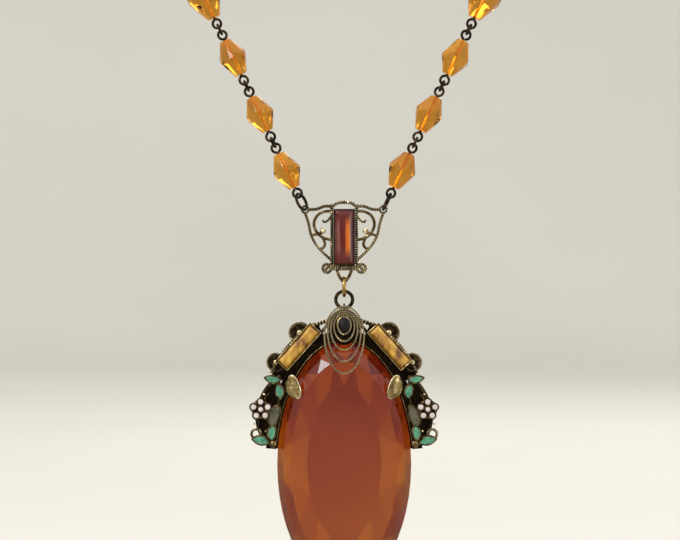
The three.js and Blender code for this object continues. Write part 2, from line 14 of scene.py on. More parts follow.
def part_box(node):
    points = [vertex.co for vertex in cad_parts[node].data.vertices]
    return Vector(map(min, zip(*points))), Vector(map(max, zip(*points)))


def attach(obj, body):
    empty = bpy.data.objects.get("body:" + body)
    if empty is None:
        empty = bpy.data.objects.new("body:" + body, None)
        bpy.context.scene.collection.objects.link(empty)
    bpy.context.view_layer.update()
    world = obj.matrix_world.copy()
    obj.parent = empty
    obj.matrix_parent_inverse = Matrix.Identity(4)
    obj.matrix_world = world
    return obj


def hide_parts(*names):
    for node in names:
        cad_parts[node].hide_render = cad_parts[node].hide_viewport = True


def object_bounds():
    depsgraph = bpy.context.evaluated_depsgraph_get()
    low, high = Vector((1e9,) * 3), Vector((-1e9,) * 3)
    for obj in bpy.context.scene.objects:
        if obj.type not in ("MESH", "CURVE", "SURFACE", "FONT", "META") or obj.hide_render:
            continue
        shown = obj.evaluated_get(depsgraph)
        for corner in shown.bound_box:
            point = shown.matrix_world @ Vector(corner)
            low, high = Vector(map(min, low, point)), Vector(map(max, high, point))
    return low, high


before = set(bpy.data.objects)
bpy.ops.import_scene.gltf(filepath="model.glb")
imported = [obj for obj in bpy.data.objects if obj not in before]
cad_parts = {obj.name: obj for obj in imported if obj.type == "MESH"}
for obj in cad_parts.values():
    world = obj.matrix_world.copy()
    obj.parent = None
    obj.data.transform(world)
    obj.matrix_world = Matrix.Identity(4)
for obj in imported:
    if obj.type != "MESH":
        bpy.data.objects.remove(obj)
cad_low, cad_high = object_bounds()

MM = 0.001
SIDES = (("left", -1), ("right", 1))

# Pendant stone, about the corner level.
STONE_CENTRE_Z = -60.7
STONE_HALF_WIDTH = 16.0
STONE_HALF_HEIGHT = 29.3
TABLE = {"half_width": 12.7, "half_height": 24.9, "y": -3.4}
CROWN = {"half_width": 14.5, "half_height": 27.2, "y": -2.15}
PAVILION = {"half_width": 12.6, "half_height": 24.4, "y": 2.5}
REAR = {"half_width": 8.9, "half_height": 18.7, "y": 4.1}
GIRDLE_HALF = 0.35
GIRDLE_INSET = 0.05

# Strands, as the part has them.
UNITS = 13
JOINTED = 5
SMALL_BEAD = {"length": 8.9, "waist": 3.4, "end": 1.45}
LARGE_BEAD = {"length": 11.4, "waist": 4.2, "end": 1.6}
BORE = 0.62
CHAIN_WIRE = 0.32
EYE = 1.05
LINK = 1.2
REACH = 1.5
LEAN = math.radians(25.4)
CORNER_X = 9.3
CORNER_RING = {"radius": 2.05, "wire": 0.36, "eye_reach": 2.25, "turn": {"left": 27, "right": 4}}
NECK_HALF_WIDTH = 55.0
NECK_SIDE_RISE = 95.0
CLASP_HALF = 6.6
# How far the strand's curve keeps its direction past each of its ends.
PULL = {"front": 14, "side_below": 22, "side_above": 25, "nape": 26}

# Connector's box setting, and the rings that carry the pendant.
SETTING = {"width": 5.0, "top": 0.1, "bottom": -13.2, "front": -1.5, "back": 0.9, "wall": 0.26}
JUMP_RING = {"radius": 2.15, "wire": 0.47}
BAIL_RING = {"radius": 2.0, "wire": 0.43}
HANGING_EYE = {"radius": 0.9, "wire": 0.27, "play": 0.18}

# Twisted wire: two strands, so the pattern repeats every half turn.
ROPE_PITCH = 1.1
ROPE_STEPS = 10
ROPE_WAIST = 0.5

# Camera: millimetres for the lens and sensor, metres for its place.
CAMERA = {"lens": 100, "sensor": 36, "from_corner_level": (-0.001, -0.45, -0.0144)}

# Both are lower than real glass, about 1.5, so that fewer facets turn dark by total reflection.
BEAD_IOR = 1.3
STONE_IOR = 1.4


def box_middle(node):
    low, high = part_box(node)
    return (low + high) / 2


ORIGIN = np.array([
    0.0,
    box_middle("bail_ring").y,
    box_middle("pendant_stone").z - STONE_CENTRE_Z * MM,
])
NAPE_DEPTH = -ORIGIN[1] / MM
NAPE_RISE = -ORIGIN[2] / MM


# ---------------------------------------- shapes

class Shape:
    """Points in millimetres, the faces between them, and one value per point from 0 to 1 for wear and
    painted light: high where metal is bare and a highlight is painted, low where patina lies and shade is
    painted.
    """

    def __init__(self):
        self.points = np.zeros((0, 3))
        self.rubbed_and_lit = np.zeros(0)
        self.faces = []

    def add(self, points, faces, rubbed_and_lit=0.4):
        start = len(self.points)
        self.points = np.vstack([self.points, np.asarray(points, float)])
        worn_and_lit = np.broadcast_to(np.asarray(rubbed_and_lit, float), (len(points),))
        self.rubbed_and_lit = np.concatenate([self.rubbed_and_lit, worn_and_lit])
        self.faces += [[start + i for i in face] for face in faces]
        return self

    def join(self, *others):
        for other in others:
            self.add(other.points, other.faces, other.rubbed_and_lit)
        return self

    # Sets one level of wear and painted light for the whole shape: low for patina with painted shade, high
    # for bare metal with a painted highlight.
    def worn_and_lit(self, amount):
        self.rubbed_and_lit[:] = amount
        return self

    def moved(self, matrix):
        turned = Shape()
        rows = np.array(matrix, float)
        turned.points = self.points @ rows[:3, :3].T + rows[:3, 3]
        turned.rubbed_and_lit = self.rubbed_and_lit.copy()
        turned.faces = [list(face) for face in self.faces]
        if np.linalg.det(rows[:3, :3]) < 0:
            turned.faces = [face[::-1] for face in turned.faces]
        return turned


def shift(x=0.0, y=0.0, z=0.0):
    return Matrix.Translation((x, y, z))


def turn(degrees, axis):
    return Matrix.Rotation(math.radians(degrees), 4, axis)


def mirror(side):
    return Matrix.Diagonal((side, 1, 1, 1))


def smooth_path(points, spacing, closed=False):
    """An even walk along the smooth curve through some points."""
    knots = np.array(points, float)
    count = len(knots)
    dense = []
    for i in range(count if closed else count - 1):
        if closed:
            a, b, c, d = (knots[(i + k) % count] for k in (-1, 0, 1, 2))
        else:
            a, b, c, d = (knots[min(max(i + k, 0), count - 1)] for k in (-1, 0, 1, 2))
        for t in np.linspace(0, 1, 16, endpoint=False):
            dense.append(0.5 * (2 * b + (c - a) * t + (2 * a - 5 * b + 4 * c - d) * t**2
                                + (3 * b - a - 3 * c + d) * t**3))
    dense.append(dense[0] if closed else knots[-1])
    dense = np.array(dense)
    walked = np.concatenate([[0], np.cumsum(np.linalg.norm(np.diff(dense, axis=0), axis=1))])
    steps = max(int(round(walked[-1] / spacing)), 2)
    at = np.linspace(0, walked[-1], steps + 1)
    path = np.column_stack([np.interp(at, walked, dense[:, k]) for k in range(3)])
    return path[:-1] if closed else path


def sweep(path, sections, closed=False, up=(0, 1, 0), rubbed_and_lit=0.4):
    """Skins a path with one section per station. A section is a loop of [across, up] offsets."""
    path = np.asarray(path, float)
    ahead = np.roll(path, -1, 0) - np.roll(path, 1, 0)
    if not closed:
        ahead[0] = path[1] - path[0]
        ahead[-1] = path[-1] - path[-2]
    ahead /= np.linalg.norm(ahead, axis=1)[:, None]
    across = np.cross(ahead, np.asarray(up, float))
    across /= np.linalg.norm(across, axis=1)[:, None]
    rise = np.cross(across, ahead)
    points = (path[:, None] + sections[:, :, :1] * across[:, None] + sections[:, :, 1:] * rise[:, None])
    rings, sides = points.shape[:2]
    faces = []
    for i in range(rings if closed else rings - 1):
        low, high = i * sides, (i + 1) % rings * sides
        for k in range(sides):
            other = (k + 1) % sides
            faces.append([low + k, low + other, high + other, high + k])
    if not closed:
        faces.append(list(range(sides))[::-1])
        faces.append([(rings - 1) * sides + k for k in range(sides)])
    return Shape().add(points.reshape(-1, 3), faces, rubbed_and_lit)


def circle_section(radius, sides):
    angles = np.linspace(0, 2 * math.pi, sides, endpoint=False)
    return np.column_stack([np.cos(angles), np.sin(angles)]) * radius


def wire(points, radius, closed=False, sides=12, up=(0, 1, 0), spacing=None):
    path = smooth_path(points, spacing or max(radius * 0.8, 0.2), closed)
    return sweep(path, np.tile(circle_section(radius, sides), (len(path), 1, 1)), closed, up)


def rope(points, radius, closed=False, sides=12, pitch=ROPE_PITCH, up=(0, 1, 0)):
    """Two strands twisted together, as one body with a deep groove on either side."""
    path = smooth_path(points, pitch / ROPE_STEPS, closed)
    half_turns = max(round(2 * len(path) / ROPE_STEPS), 1)
    angles = np.linspace(0, 2 * math.pi, sides, endpoint=False)
    twist = np.linspace(0, math.pi * half_turns, len(path), endpoint=not closed)
    bulge = np.maximum(np.abs(np.cos(angles[None, :] - twist[:, None])), ROPE_WAIST) * radius
    sections = np.stack([np.cos(angles) * bulge, np.sin(angles) * bulge], axis=-1)
    # Crests get high values and grooves low ones: wear on the crests and patina in the grooves, together
    # with a painted highlight on each crest and painted shade in each groove.
    crest = (bulge / radius - ROPE_WAIST) / (1 - ROPE_WAIST)
    return sweep(path, sections, closed, up, crest.ravel() ** 1.5)


def flat(pairs, y=0.0):
    return [(x, y, z) for x, z in pairs]


def arc(x, z, radius, start=0, end=360, steps=24, y=0.0):
    angles = np.radians(np.linspace(start, end, steps + 1))
    return [(x + radius * math.cos(a), y, z + radius * math.sin(a)) for a in angles]


def split_ring(radius, thick, gap=6, sides=14):
    """A bent wire ring whose two ends nearly meet, in the XZ plane."""
    return wire(arc(0, 0, radius, 90 + gap / 2, 450 - gap / 2, 40), thick, sides=sides, spacing=thick / 2)


def dome(outline, back, edge, height, levels=5, edge_round=0.12):
    """A plate over an outline of [x, z] pairs: straight sides, a rounded edge and a crowned front."""
    loop = np.array(outline, float)
    middle = loop.mean(axis=0)
    rings = [(1.0, back), (1.0, edge + edge_round)]
    for i in range(levels):
        share = (i + 0.6) / levels
        rings.append((1 - share**1.6 * 0.97, edge - height * (1 - (1 - share) ** 2)))
    points = []
    rubbed_and_lit = []
    for i, (scale, y) in enumerate(rings):
        ring = middle + (loop - middle) * scale
        points += [(x, y, z) for x, z in ring]
        # The back is darkest and the rounded edge brightest: patina and wear on the rim, together with
        # painted shade on the back and a painted highlight along the rim.
        rubbed_and_lit += [(0.1, 0.5, 0.9)[i] if i < 3 else 0.35] * len(ring)
    count = len(loop)
    faces = [list(range(count))]
    for i in range(len(rings) - 1):
        for k in range(count):
            other = (k + 1) % count
            faces.append([i * count + k, (i + 1) * count + k, (i + 1) * count + other, i * count + other])
    faces.append([(len(rings) - 1) * count + k for k in range(count)][::-1])
    return Shape().add(points, faces, rubbed_and_lit)


def disc(x, z, radius, steps=28):
    angles = np.linspace(0, 2 * math.pi, steps, endpoint=False)
    return [(x + radius * math.cos(a), z + radius * math.sin(a)) for a in angles]


def leaf(x, z, length, width, degrees, steps=20, bend=0.0):
    """A pointed leaf outline about x, z, bent sideways at its tips."""
    lean = math.radians(degrees)
    pairs = []
    for i in range(2 * steps):
        t = i / steps if i < steps else 2 - i / steps
        along = (t - 0.5) * length
        out = width / 2 * math.sin(math.pi * t) ** 0.8 * (1 if i < steps else -1)
        out += bend * (4 * (t - 0.5) ** 2)
        pairs.append((x + along * math.cos(lean) - out * math.sin(lean),
                      z + along * math.sin(lean) + out * math.cos(lean)))
    return pairs[::-1]


def ball(x, y, z, radius, squash=1.0):
    bm = bmesh.new()
    bmesh.ops.create_uvsphere(bm, u_segments=20, v_segments=12, radius=radius)
    # Balls are set bright all over: bare metal with a painted highlight.
    shape = from_bmesh(bm).worn_and_lit(0.75)
    return shape.moved(shift(x, y, z) @ Matrix.Diagonal((1, squash, 1, 1)))


def from_bmesh(bm):
    bm.verts.index_update()
    shape = Shape().add([v.co[:] for v in bm.verts], [[v.index for v in f.verts] for f in bm.faces])
    bm.free()
    return shape


def cut_stone(points, edge=0.06, dissolve=1.0):
    """The faceted body round some points, with its edges just broken."""
    bm = bmesh.new()
    for point in points:
        bm.verts.new(point)
    made = bmesh.ops.convex_hull(bm, input=bm.verts)
    inside = [g for g in made["geom_interior"] + made["geom_unused"] if isinstance(g, bmesh.types.BMVert)]
    bmesh.ops.delete(bm, geom=list(set(inside)), context="VERTS")
    bmesh.ops.dissolve_limit(bm, angle_limit=math.radians(dissolve), verts=bm.verts, edges=bm.edges)
    bmesh.ops.recalc_face_normals(bm, faces=bm.faces)
    bmesh.ops.bevel(bm, geom=list(bm.edges), offset=edge, segments=1, affect="EDGES", clamp_overlap=True)
    return from_bmesh(bm)


# ---------------------------------------- objects

def new_object(name, data):
    made = bpy.data.objects.new(name, data)
    bpy.context.scene.collection.objects.link(made)
    return made


def to_mesh(name, shape, in_place):
    """A mesh in metres; in_place puts front-local points into the row frame."""
    points = shape.points * MM + (ORIGIN if in_place else 0)
    data = bpy.data.meshes.new(name)
    data.from_pydata(points.tolist(), [], shape.faces)
    data.attributes.new("rubbed_and_lit", "FLOAT", "POINT").data.foreach_set("value", shape.rubbed_and_lit)
    return data


def make(name, shape, finish, body, replaced=(), sharp=35, in_place=True, matrix=None):
    """One visible piece: its mesh, finish, the body it rides on and the CAD nodes it stands for."""
    data = to_mesh(name, shape, in_place)
    bm = bmesh.new()
    bm.from_mesh(data)
    bmesh.ops.recalc_face_normals(bm, faces=bm.faces)
    bm.to_mesh(data)
    bm.free()
    data.polygons.foreach_set("use_smooth", [sharp > 0] * len(data.polygons))
    if sharp > 0:
        data.set_sharp_from_angle(angle=math.radians(sharp))
    data.materials.append(finish)
    piece = new_object(name, data)
    if matrix is not None:
        piece.matrix_world = matrix
    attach(piece, body)
    if replaced:
        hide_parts(*replaced)
    return piece


# ---------------------------------------- materials

def rgb(code):
    """A colour from its six-digit web code, as linear light."""
    parts = [int(code[i:i + 2], 16) / 255 for i in (0, 2, 4)]
    return (*[p / 12.92 if p <= 0.04045 else ((p + 0.055) / 1.055) ** 2.4 for p in parts], 1.0)


class Finish:
    """A procedural material and short ways to add nodes to it."""

    def __init__(self, name):
        self.material = bpy.data.materials.new(name)
        self.material.use_nodes = True
        self.tree = self.material.node_tree
        self.shader = self.tree.nodes["Principled BSDF"]
        self.place = self.tree.nodes.new("ShaderNodeTexCoord").outputs["Object"]

    def set(self, **values):
        for name, value in values.items():
            self.shader.inputs[name.replace("_", " ")].default_value = value
        return self

    def node(self, kind, links=(), **settings):
        made = self.tree.nodes.new(kind)
        for name, value in settings.items():
            if hasattr(made, name):
                setattr(made, name, value)
            else:
                made.inputs[name.replace("_", " ")].default_value = value
        for name, source in dict(links).items():
            self.tree.links.new(source, made.inputs[name])
        return made

    def noise(self, scale, detail=4.0, stretch=None):
        place = self.place
        if stretch:
            place = self.node("ShaderNodeMapping", {"Vector": place}, Scale=stretch).outputs[0]
        return self.node("ShaderNodeTexNoise", {"Vector": place}, Scale=scale, Detail=detail).outputs[0]

    def ramp(self, source, stops):
        made = self.node("ShaderNodeValToRGB", {"Fac": source})
        stop_list = made.color_ramp.elements
        while len(stop_list) < len(stops):
            stop_list.new(0.5)
        for stop, (position, colour) in zip(stop_list, stops):
            stop.position = position
            stop.color = colour
        return made.outputs[0]

    def span(self, source, low, high, start=0.0, end=1.0):
        values = {"From Min": start, "From Max": end, "To Min": low, "To Max": high}
        made = self.node("ShaderNodeMapRange", {"Value": source})
        for name, value in values.items():
            made.inputs[name].default_value = value
        return made.outputs[0]

    def maths(self, operation, a, b):
        made = self.node("ShaderNodeMath", operation=operation)
        for socket, source in zip(made.inputs, (a, b)):
            if isinstance(source, (int, float)):
                socket.default_value = source
            else:
                self.tree.links.new(source, socket)
        return made.outputs[0]

    def blend(self, share, first, second):
        made = self.node("ShaderNodeMix", data_type="RGBA")
        colours = [socket for socket in made.inputs if socket.type == "RGBA"]
        self.tree.links.new(share, made.inputs["Factor"])
        self.tree.links.new(first, colours[0])
        colours[1].default_value = second
        return [socket for socket in made.outputs if socket.type == "RGBA"][0]

    def feed(self, name, source):
        self.tree.links.new(source, self.shader.inputs[name])

    def bump(self, source, strength, distance=0.00003):
        made = self.node("ShaderNodeBump", {"Height": source}, Strength=strength, Distance=distance)
        self.feed("Normal", made.outputs["Normal"])


def brass(name, hollow, worn_and_lit, bright, roughness, bias=0.0, mottle=0.3):
    """Brass with patina left in its hollows and bare metal where rubbing reaches it; the per-point value
    that picks between them also paints shade into hollows and grooves and highlights onto crests and rims.
    """
    finish = Finish(name)
    finish.set(Metallic=1.0)
    # The per-point value of wear and painted light, read from the mesh.
    rubbed_and_lit = finish.node("ShaderNodeAttribute", attribute_name="rubbed_and_lit").outputs["Fac"]
    patches = finish.span(finish.noise(1100.0), bias - mottle, bias + mottle, 0.3, 0.7)
    share = finish.maths("ADD", rubbed_and_lit, patches)
    finish.feed("Base Color", finish.ramp(share, [(0.12, hollow), (0.55, worn_and_lit), (0.95, bright)]))
    finish.feed("Roughness", finish.span(share, roughness[1], roughness[0]))
    finish.bump(finish.noise(3500.0, 6.0), 0.3)
    return finish.material


def clear_glass(name, deep, pale, scale=140.0):
    """Coloured glass, a little uneven in its tint."""
    finish = Finish(name)
    finish.set(Transmission_Weight=1.0, Roughness=0.015, IOR=BEAD_IOR)
    finish.feed("Base Color", finish.ramp(finish.noise(scale, 2.0), [(0.35, deep), (0.65, pale)]))
    return finish.material


def shaded_stone_glass(name):
    """Red-brown glass, redder at the top and amber towards the foot, each facet with its own painted light
    play.
    """
    finish = Finish(name)
    finish.set(Transmission_Weight=0.94, Roughness=0.02, IOR=STONE_IOR)
    axes = finish.node("ShaderNodeSeparateXYZ", {"Vector": finish.place})
    top = ORIGIN[2] + (STONE_CENTRE_Z + STONE_HALF_HEIGHT) * MM
    foot = ORIGIN[2] + (STONE_CENTRE_Z - STONE_HALF_HEIGHT) * MM
    height = finish.span(axes.outputs["Z"], 0.0, 0.4, top, foot)
    # Each facet's painted light play, standing in for light refracted and reflected by the cut.
    facet = finish.node("ShaderNodeAttribute", attribute_name="facet").outputs["Fac"]
    cloud = finish.span(finish.noise(60.0, 2.0), -0.05, 0.05, 0.3, 0.7)
    # depth mixes the height tint, the painted facet light play and a cloud of random tone.
    depth = finish.maths("ADD", finish.maths("ADD", height, facet), cloud)
    finish.feed("Base Color", finish.ramp(depth, [
        (0.0, rgb("46080a")),
        (0.3, rgb("82250f")),
        (0.6, rgb("9a430f")),
        (1.0, rgb("b86a12")),
    ]))
    return finish.material


def light_banded_glass(name):
    """A dark red stone with a painted pale reflection along one flank and a painted orange glow of light
    through the glass along the other, darker towards both ends.
    """
    finish = Finish(name)
    finish.set(Roughness=0.12, IOR=STONE_IOR)
    axes = finish.node("ShaderNodeSeparateXYZ", {"Vector": finish.place})
    half = SETTING["width"] / 2 * MM
    across = finish.span(axes.outputs["X"], 0.0, 1.0, -half, half)
    wander = finish.span(finish.noise(330.0, 2.0, stretch=(1.0, 1.0, 0.4)), -0.05, 0.05, 0.3, 0.7)
    # Painted light across the stone: a pale reflection band at one side and an orange band of light through
    # the glass at the other.
    light_bands = finish.ramp(finish.maths("ADD", across, wander), [
        (0.1, rgb("5e332b")),
        (0.24, rgb("7c4c40")),
        (0.31, rgb("54100b")),
        (0.54, rgb("5e140d")),
        (0.6, rgb("b85a16")),
        (0.76, rgb("c86a18")),
        (0.84, rgb("3c0c08")),
    ])
    middle = ORIGIN[2] + (SETTING["top"] + SETTING["bottom"]) / 2 * MM
    off_middle = finish.maths("ABSOLUTE", finish.maths("SUBTRACT", axes.outputs["Z"], middle), 0.0)
    near_end = finish.span(off_middle, 0.0, 1.0, 2.4 * MM, 5.0 * MM)
    finish.feed("Base Color", finish.blend(near_end, light_bands, rgb("54130d")))
    return finish.material


def foil_glass(name):
    """Golden glass over foil that shows wear, with brown streaks along its length."""
    finish = Finish(name)
    finish.set(Metallic=0.35, Coat_Weight=1.0, Coat_Roughness=0.03, IOR=1.52)
    streaks = finish.noise(420.0, 6.0, stretch=(1.0, 1.0, 0.45))
    finish.feed("Base Color", finish.ramp(streaks, [
        (0.38, rgb("6a3c10")),
        (0.47, rgb("a8761f")),
        (0.58, rgb("c89a32")),
        (0.72, rgb("dcb450")),
    ]))
    finish.feed("Roughness", finish.span(finish.noise(700.0), 0.18, 0.4, 0.3, 0.7))
    finish.bump(streaks, 0.5, 0.00012)
    return finish.material


def enamel(name, deep, pale, scale=900.0, coat=0.5, specular=0.5):
    """Glossy fired enamel, slightly pooled and uneven."""
    finish = Finish(name)
    finish.set(Coat_Weight=coat, Coat_Roughness=0.08, Specular_IOR_Level=specular)
    clouds = finish.noise(scale, 3.0)
    finish.feed("Base Color", finish.ramp(clouds, [(0.34, deep), (0.66, pale)]))
    finish.feed("Roughness", finish.span(clouds, 0.24, 0.42, 0.3, 0.7))
    finish.bump(finish.noise(1400.0, 3.0), 0.3)
    return finish.material


# Each brass runs from its hollow colour to its bright colour by that value, so the hollow colour stands
# partly for painted shade and the bright colour partly for a painted highlight.
DARK_BRASS = brass("dark_brass", rgb("17110b"), rgb("4d3e2b"), rgb("a08a60"), (0.22, 0.5), -0.12)
ANTIQUE_BRASS = brass("antique_brass", rgb("120d08"), rgb("6a5534"), rgb("ecdcae"), (0.14, 0.45))
TWISTED_BRASS = brass("twisted_brass", rgb("070503"), rgb("54401f"), rgb("f3dfae"), (0.16, 0.5), 0.0, 0.1)
BRIGHT_BRASS = brass("bright_brass", rgb("3a2c16"), rgb("a88a4d"), rgb("e6cf92"), (0.12, 0.32), 0.1)
CLAW_BRASS = brass("claw_brass", rgb("4a3f28"), rgb("9a8558"), rgb("f2e6c4"), (0.1, 0.3), 0.1)
CLEAN_BRASS = brass("clean_brass", rgb("b98a1e"), rgb("f2c437"), rgb("ffe27a"), (0.2, 0.34), 0.3)
SPRING_STEEL = brass("spring_steel", rgb("3c3c3c"), rgb("8a8a8a"), rgb("b8b8b8"), (0.25, 0.4))
AMBER = clear_glass("amber_glass", rgb("c47a16"), rgb("e2a032"))
DARK_RED = light_banded_glass("dark_red_glass")
STONE_GLASS = shaded_stone_glass("red_amber_glass")
YELLOW_FOIL = foil_glass("yellow_glass")
BLACK_GLASS = enamel("black_glass", rgb("040405"), rgb("08080a"), coat=0.0, specular=0.2)
WHITE_ENAMEL = enamel("white_enamel", rgb("bdb3b0"), rgb("d2c8c6"))
GREEN_ENAMEL = enamel("green_enamel", rgb("2a6c50"), rgb("4f9674"))
OLIVE_ENAMEL = enamel("olive_enamel", rgb("34321f"), rgb("565239"))


# ---------------------------------------- strands

def strand_layout():
    """Where each unit's middle and link lie along a strand, from the connector's corner."""
    units = []
    eye = CORNER_RING["radius"] + CORNER_RING["eye_reach"]
    for i in range(UNITS):
        bead = LARGE_BEAD if (i + 1) % 4 == 0 else SMALL_BEAD
        span = bead["length"] + 2 * REACH
        units.append({"bead": bead, "span": span, "middle": eye + span / 2, "link": eye + span + REACH})
        eye += span + 2 * REACH
    return units


def bezier(a, b, c, d, steps=400):
    t = np.linspace(0, 1, steps)[:, None]
    return a * (1 - t) ** 3 + 3 * b * t * (1 - t) ** 2 + 3 * c * t**2 * (1 - t) + d * t**3


def strand_route(layout):
    """The right-hand strand's centre line with its walked length, as the part lays it."""
    up = np.array([math.sin(LEAN), 0, math.cos(LEAN)])
    corner = np.array([CORNER_X, 0, 0])
    bend = corner + up * (layout[JOINTED - 1]["link"] + REACH)
    side = np.array([NECK_HALF_WIDTH, NAPE_DEPTH * 0.46, NECK_SIDE_RISE])
    aim = np.array([0, 1, 0.16]) / math.hypot(1, 0.16)
    nape = np.array([CLASP_HALF, NAPE_DEPTH, NAPE_RISE])
    route = np.vstack([
        [corner],
        bezier(bend, bend + up * PULL["front"], side - aim * PULL["side_below"], side),
        bezier(side, side + aim * PULL["side_above"], nape + np.array([PULL["nape"], 0, 0]), nape),
        [nape - np.array([20, 0, 0])],
    ])
    walked = np.concatenate([[0], np.cumsum(np.linalg.norm(np.diff(route, axis=0), axis=1))])
    return route, walked


LAYOUT = strand_layout()
ROUTE, WALKED = strand_route(LAYOUT)


def along_strand(distance):
    return np.array([np.interp(distance, WALKED, ROUTE[:, k]) for k in range(3)])


def strand_matrix(start, end, twist, side):
    """Places a piece that is modelled along Z, with its back to +Y, on one strand."""
    low, high = along_strand(start), along_strand(end)
    ahead = Vector(high - low).normalized()
    middle = (low + high) / 2
    depth = min(max(middle[1] / NAPE_DEPTH, 0), 1)
    depth = depth * depth * (3 - 2 * depth)
    out = Vector((middle[0], (2 * depth - 1) * NECK_HALF_WIDTH, 0)).normalized()
    if middle[1] < 1:
        out = Vector((0, -1, 0))
    back = -out - ahead * (-out).dot(ahead)
    back.normalize()
    across = back.cross(ahead)
    basis = Matrix((across, back, ahead)).transposed().to_4x4()
    placed = Matrix.Translation(middle) @ basis @ Matrix.Rotation(twist, 4, "Z")
    return mirror(side) @ placed


def pin_twist(index, side):
    """A slight turn of each pin about its own wire, so that no two beads face alike."""
    return math.radians(24 * math.sin(2.3 * index + (1.9 if side > 0 else 0.4)))


def bead_shape(size):
    """A six-sided bead with a zigzag waist and a bore, its edges just broken."""
    length, waist, end = size["length"], size["waist"], size["end"]
    points = []
    for i in range(6):
        whole = math.pi / 3 * i
        between = whole + math.pi / 6
        for angle, radius, z in (
            (whole, end, length / 2),
            (between, end, -length / 2),
            (between, waist, length * 0.055),
            (whole, waist, -length * 0.055),
        ):
            points.append((radius * math.cos(angle), radius * math.sin(angle), z))
    body = to_object("bead_body", cut_stone(points, edge=0.1))
    reach = length / 2 + 1
    return subtract(body, to_object("bead_bore", rod(-reach, reach, BORE, 20)))


def to_object(name, shape):
    data = bpy.data.meshes.new(name)
    data.from_pydata(shape.points.tolist(), [], shape.faces)
    return new_object(name, data)


def subtract(body, cutter):
    """The body less the cutter, as a shape. Both objects are used up."""
    cut = body.modifiers.new("cut", "BOOLEAN")
    cut.object = cutter
    cut.operation = "DIFFERENCE"
    cut.solver = "EXACT"
    bpy.context.view_layer.update()
    evaluated = body.evaluated_get(bpy.context.evaluated_depsgraph_get())
    bm = bmesh.new()
    bm.from_mesh(evaluated.to_mesh())
    evaluated.to_mesh_clear()
    bpy.data.objects.remove(body)
    bpy.data.objects.remove(cutter)
    return from_bmesh(bm)


def pin_shape(span):
    """The two eyes of a pin and the short wire between each eye and the bead."""
    shape = Shape()
    for end in (-1, 1):
        middle = end * span / 2
        start = -90 * end
        points = arc(0, middle, EYE, start + 8, start + 354, 36)
        shape.join(wire(points, CHAIN_WIRE, sides=12, spacing=0.16))
        shape.join(straight_wire(end * (span / 2 - REACH), end * (span / 2 - EYE)))
    return shape


def rod(low, high, radius, sides):
    """A straight round bar along Z."""
    return sweep([(0, 0, low), (0, 0, high)], np.tile(circle_section(radius, sides), (2, 1, 1)))


def straight_wire(start, end):
    return rod(*sorted((start, end)), CHAIN_WIRE, 14)


def make_strands():
    beads = {size["length"]: bead_shape(size) for size in (SMALL_BEAD, LARGE_BEAD)}
    link = split_ring(LINK, CHAIN_WIRE).moved(turn(90, "Z"))
    for name, side in SIDES:
        for i, unit in enumerate(LAYOUT):
            row = i + 1
            jointed = row <= JOINTED
            half = unit["span"] / 2
            at_unit = strand_matrix(unit["middle"] - half, unit["middle"] + half, pin_twist(i, side), side)
            last = row == UNITS
            twist = 0 if last else (pin_twist(i, side) + pin_twist(i + 1, side)) / 2
            at_link = strand_matrix(unit["link"] - 1, unit["link"] + 1, twist, side)
            back = [f"back_strand_{name}"]
            pin_body = f"pin_{name}_{row}" if jointed else "neck_chain"
            pin_node = [f"eye_pin_{name}_{row}"] if jointed else back
            make(f"glass_bead_{name}_{row}", beads[unit["bead"]["length"]].moved(at_unit), AMBER,
                 f"bead_{name}_{row}" if jointed else "neck_chain",
                 [f"bead_{name}_{row}"] if jointed else back, sharp=20)
            make(f"wire_pin_{name}_{row}", pin_shape(unit["span"]).moved(at_unit), DARK_BRASS,
                 pin_body, pin_node)
            half_bead = unit["bead"]["length"] / 2
            shaft = straight_wire(-half_bead, half_bead).moved(at_unit)
            make(f"wire_shaft_{name}_{row}", shaft, CLEAN_BRASS, pin_body, pin_node)
            make(f"wire_link_{name}_{row}", link.moved(at_link), DARK_BRASS,
                 f"pin_{name}_{row + 1}" if row < JOINTED else "neck_chain",
                 [f"link_ring_{name}_{row}"] if jointed else back)
        turned = math.radians(CORNER_RING["turn"][name]) - math.pi / 2
        at_corner = strand_matrix(0, 2 * CORNER_RING["radius"], turned, side)
        ring = split_ring(CORNER_RING["radius"], CORNER_RING["wire"]).moved(at_corner)
        make(f"bent_ring_{name}", ring, DARK_BRASS, f"corner_link_{name}",
             [f"corner_ring_{name}"])


# ---------------------------------------- connector

TRIM_X = 2.92


def connector_half():
    """Plain and twisted wires of one half of the connector, on the side of +X."""
    plain = [
        wire(flat([(3.0, -0.4), (4.8, -0.5), (6.4, -1.4), (7.2, -3.3), (6.6, -5.3), (5.2, -6.6),
                   (3.0, -7.3)]), 0.36),
        wire(flat([(6.3, -5.6), (5.7, -5.7), (5.1, -5.2)]), 0.34),
        wire(flat([(7.7, -6.2), (6.3, -5.9), (5.1, -6.8), (4.6, -8.3), (5.3, -9.3), (6.2, -9.0)]), 0.34),
        wire(arc(CORNER_X, 0, 0.82, 0, 352, 28), 0.25, spacing=0.14),
        ball(5.1, 0, -5.1, 0.72, 0.8),
    ]
    twisted = [
        rope(flat([(8.5, 0), (6.6, 0.1), (4.6, 0.8), (TRIM_X, 0.7)]), 0.5),
        rope(flat([(CORNER_X, -0.9), (8.5, -3.3), (7.8, -6.3), (6.1, -9.1), (TRIM_X, -12.2)]), 0.43),
        rope(flat([(TRIM_X, 1.25), (TRIM_X, -6.0), (TRIM_X, -13.9)]), 0.5),
        rope(flat([(TRIM_X, -1.2), (3.7, -2.4), (4.6, -3.0), (5.2, -2.5)]), 0.36),
        rope(arc(4.1, -14.0, 1.0, 150, 510, 30), 0.46),
        rope(flat([(3.4, -13.2), (4.1, -14.0), (4.9, -14.9)]), 0.5),
    ]
    return plain, twisted


